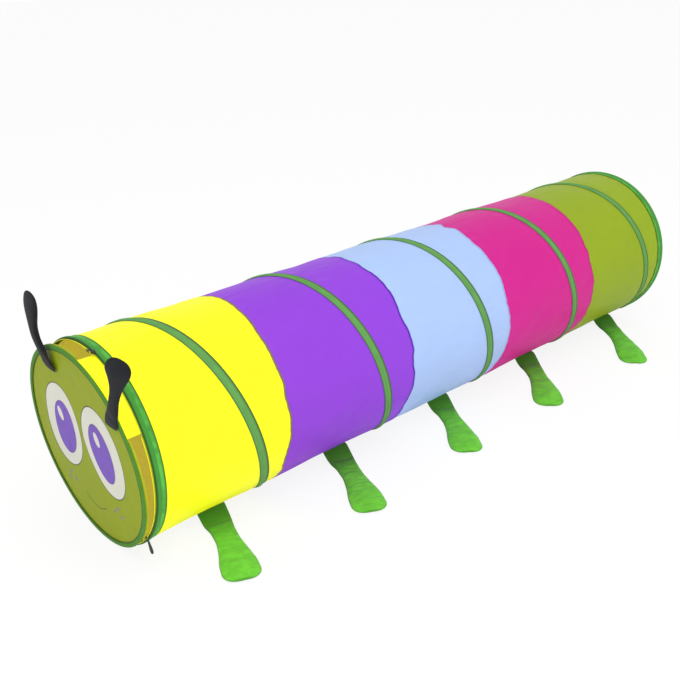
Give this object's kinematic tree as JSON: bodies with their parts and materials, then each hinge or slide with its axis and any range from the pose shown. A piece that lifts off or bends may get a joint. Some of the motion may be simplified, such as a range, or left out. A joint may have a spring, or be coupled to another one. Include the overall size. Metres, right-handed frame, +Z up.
{
  "type": "kids play tunnel",
  "caption": "Pop-up crawl tunnel shaped like a long many-legged bug: coloured cloth panels on a spiral spring wire, a zipped round face with antennae, padded legs on the floor and an open tail",
  "frame": {"origin": "floor, under the middle of the bounding box", "axes": "+X from the head to the tail along the tunnel, +Y to the tunnel's far side in the picture, +Z up"},
  "size_m": [1.913, 0.7504, 0.5701],
  "materials": {
    "spring_steel": "drawn spring wire",
    "green_tape": "woven polyester tape",
    "dark_tape": "woven polyester tape",
    "yellow_cloth": "coated nylon, satin",
    "purple_cloth": "coated nylon, satin",
    "blue_cloth": "coated nylon, satin",
    "pink_cloth": "coated nylon, satin",
    "lime_cloth": "coated nylon, satin",
    "olive_cloth": "coated nylon, satin",
    "olive_coil": "moulded coil",
    "zip_yellow": "woven zip tape",
    "coil_yellow": "moulded coil",
    "slider_metal": "lacquered die-cast",
    "black_plastic": "matte",
    "black_cloth": "brushed cloth over padding",
    "leg_cloth": "brushed cloth over padding"
  },
  "bodies": {
    "head": {"mouth_binding": "green_tape", "panel_yellow": "yellow_cloth", "spring_wire": "spring_steel", "spiral_tape": "green_tape", "mouth_zip_tape": "zip_yellow", "mouth_zip_coil": "coil_yellow", "hinge_gusset": "zip_yellow"},
    "purple_section": {"panel_purple": "purple_cloth"},
    "blue_section": {"panel_blue": "blue_cloth"},
    "pink_section": {"panel_pink": "pink_cloth"},
    "lime_section": {"panel_lime": "lime_cloth"},
    "tail": {"tail_binding": "green_tape"},
    "face": {"face_panel": "olive_cloth", "face_hoop": "spring_steel", "face_binding": "dark_tape", "face_zip_tape": "olive_cloth", "face_zip_coil": "olive_coil"},
    "antenna_left": {"antenna_left": "black_cloth"},
    "antenna_right": {"antenna_right": "black_cloth"},
    "top_slider": {"top_slider": "slider_metal"},
    "bottom_slider": {"bottom_slider": "slider_metal"},
    "cord_pull": {"cord_pull": "black_plastic"},
    "tab_pull": {"tab_pull": "black_plastic"},
    "leg_left_1": {"leg_left_1": "leg_cloth"},
    "leg_left_2": {"leg_left_2": "leg_cloth"},
    "leg_left_3": {"leg_left_3": "leg_cloth"},
    "leg_left_4": {"leg_left_4": "leg_cloth"},
    "leg_left_5": {"leg_left_5": "leg_cloth"},
    "leg_right_1": {"leg_right_1": "leg_cloth"},
    "leg_right_2": {"leg_right_2": "leg_cloth"},
    "leg_right_3": {"leg_right_3": "leg_cloth"},
    "leg_right_4": {"leg_right_4": "leg_cloth"},
    "leg_right_5": {"leg_right_5": "leg_cloth"}
  },
  "joints": [
    {"name": "collapse", "type": "slide", "parent": "head", "child": "tail", "axis": [-1, 0, 0], "range_m": [0, 1.7203], "stiffness_N_per_m": 6, "springref_m": -0.6, "deforming": ["spring_wire", "spiral_tape", "panel_yellow", "panel_purple", "panel_blue", "panel_pink", "panel_lime", "leg_left_1", "leg_left_2", "leg_left_3", "leg_left_4", "leg_left_5", "leg_right_1", "leg_right_2", "leg_right_3", "leg_right_4", "leg_right_5"]},
    {"name": "purple_collapse", "type": "slide", "parent": "head", "child": "purple_section", "axis": [-1, 0, 0], "range_m": [0, 0.3029]},
    {"name": "blue_collapse", "type": "slide", "parent": "head", "child": "blue_section", "axis": [-1, 0, 0], "range_m": [0, 0.6663]},
    {"name": "pink_collapse", "type": "slide", "parent": "head", "child": "pink_section", "axis": [-1, 0, 0], "range_m": [0, 1.0121]},
    {"name": "lime_collapse", "type": "slide", "parent": "head", "child": "lime_section", "axis": [-1, 0, 0], "range_m": [0, 1.3808]},
    {"name": "face_hinge", "type": "hinge", "parent": "head", "child": "face", "pos_m": [-0.88354, -0.13601, 0.40984], "axis": [0, 0.7986, 0.6018], "range_deg": [0, 110], "deforming": ["hinge_gusset"]},
    {"name": "top_slider_travel", "type": "hinge", "parent": "head", "child": "top_slider", "pos_m": [-0.88354, 0, 0.22935], "axis": [1, 0, 0], "range_deg": [-200, 0]},
    {"name": "bottom_slider_travel", "type": "hinge", "parent": "head", "child": "bottom_slider", "pos_m": [-0.88354, 0, 0.22935], "axis": [1, 0, 0], "range_deg": [-64, 220]},
    {"name": "cord_pull_swing", "type": "hinge", "parent": "top_slider", "child": "cord_pull", "pos_m": [-0.88739, -0.03202, 0.45721], "axis": [1, 0, 0], "range_deg": [-150, 0]},
    {"name": "tab_pull_swing", "type": "hinge", "parent": "bottom_slider", "child": "tab_pull", "pos_m": [-0.88739, -0.17627, 0.08144], "axis": [1, 0, 0], "range_deg": [-95, 45]},
    {"name": "antenna_left_bend", "type": "hinge", "parent": "face", "child": "antenna_left", "pos_m": [-0.91818, -0.1523, 0.34402], "axis": [0, -1, 0], "range_deg": [0, 75], "stiffness_Nm_per_rad": 0.05, "springref_deg": -17.19},
    {"name": "antenna_right_bend", "type": "hinge", "parent": "face", "child": "antenna_right", "pos_m": [-0.9206, 0.07592, 0.38613], "axis": [0, -1, 0], "range_deg": [0, 75], "stiffness_Nm_per_rad": 0.05, "springref_deg": -17.19},
    {"name": "leg_left_1_lift", "type": "hinge", "parent": "head", "child": "leg_left_1", "pos_m": [-0.6853, -0.095, 0.02966], "axis": [-1, 0, 0], "range_deg": [0, 18]},
    {"name": "leg_left_2_lift", "type": "hinge", "parent": "purple_section", "child": "leg_left_2", "pos_m": [-0.31297, -0.095, 0.02984], "axis": [-1, 0, 0], "range_deg": [0, 18]},
    {"name": "leg_left_3_lift", "type": "hinge", "parent": "blue_section", "child": "leg_left_3", "pos_m": [0.06339, -0.095, 0.02983], "axis": [-1, 0, 0], "range_deg": [0, 18]},
    {"name": "leg_left_4_lift", "type": "hinge", "parent": "pink_section", "child": "leg_left_4", "pos_m": [0.44917, -0.095, 0.02932], "axis": [-1, 0, 0], "range_deg": [0, 18]},
    {"name": "leg_left_5_lift", "type": "hinge", "parent": "lime_section", "child": "leg_left_5", "pos_m": [0.85665, -0.095, 0.02741], "axis": [-1, 0, 0], "range_deg": [0, 18]},
    {"name": "leg_right_1_lift", "type": "hinge", "parent": "head", "child": "leg_right_1", "pos_m": [-0.6853, 0.095, 0.03141], "axis": [1, 0, 0], "range_deg": [0, 18]},
    {"name": "leg_right_2_lift", "type": "hinge", "parent": "purple_section", "child": "leg_right_2", "pos_m": [-0.31297, 0.095, 0.03171], "axis": [1, 0, 0], "range_deg": [0, 18]},
    {"name": "leg_right_3_lift", "type": "hinge", "parent": "blue_section", "child": "leg_right_3", "pos_m": [0.06339, 0.095, 0.03179], "axis": [1, 0, 0], "range_deg": [0, 18]},
    {"name": "leg_right_4_lift", "type": "hinge", "parent": "pink_section", "child": "leg_right_4", "pos_m": [0.44917, 0.095, 0.03158], "axis": [1, 0, 0], "range_deg": [0, 18]},
    {"name": "leg_right_5_lift", "type": "hinge", "parent": "lime_section", "child": "leg_right_5", "pos_m": [0.85665, 0.095, 0.02812], "axis": [1, 0, 0], "range_deg": [0, 18]}
  ],
  "couplings": [
    {"joint": "purple_collapse", "follows": "collapse", "ratio": 0.17598},
    {"joint": "blue_collapse", "follows": "collapse", "ratio": 0.38724},
    {"joint": "pink_collapse", "follows": "collapse", "ratio": 0.58825},
    {"joint": "lime_collapse", "follows": "collapse", "ratio": 0.80259}
  ]
}
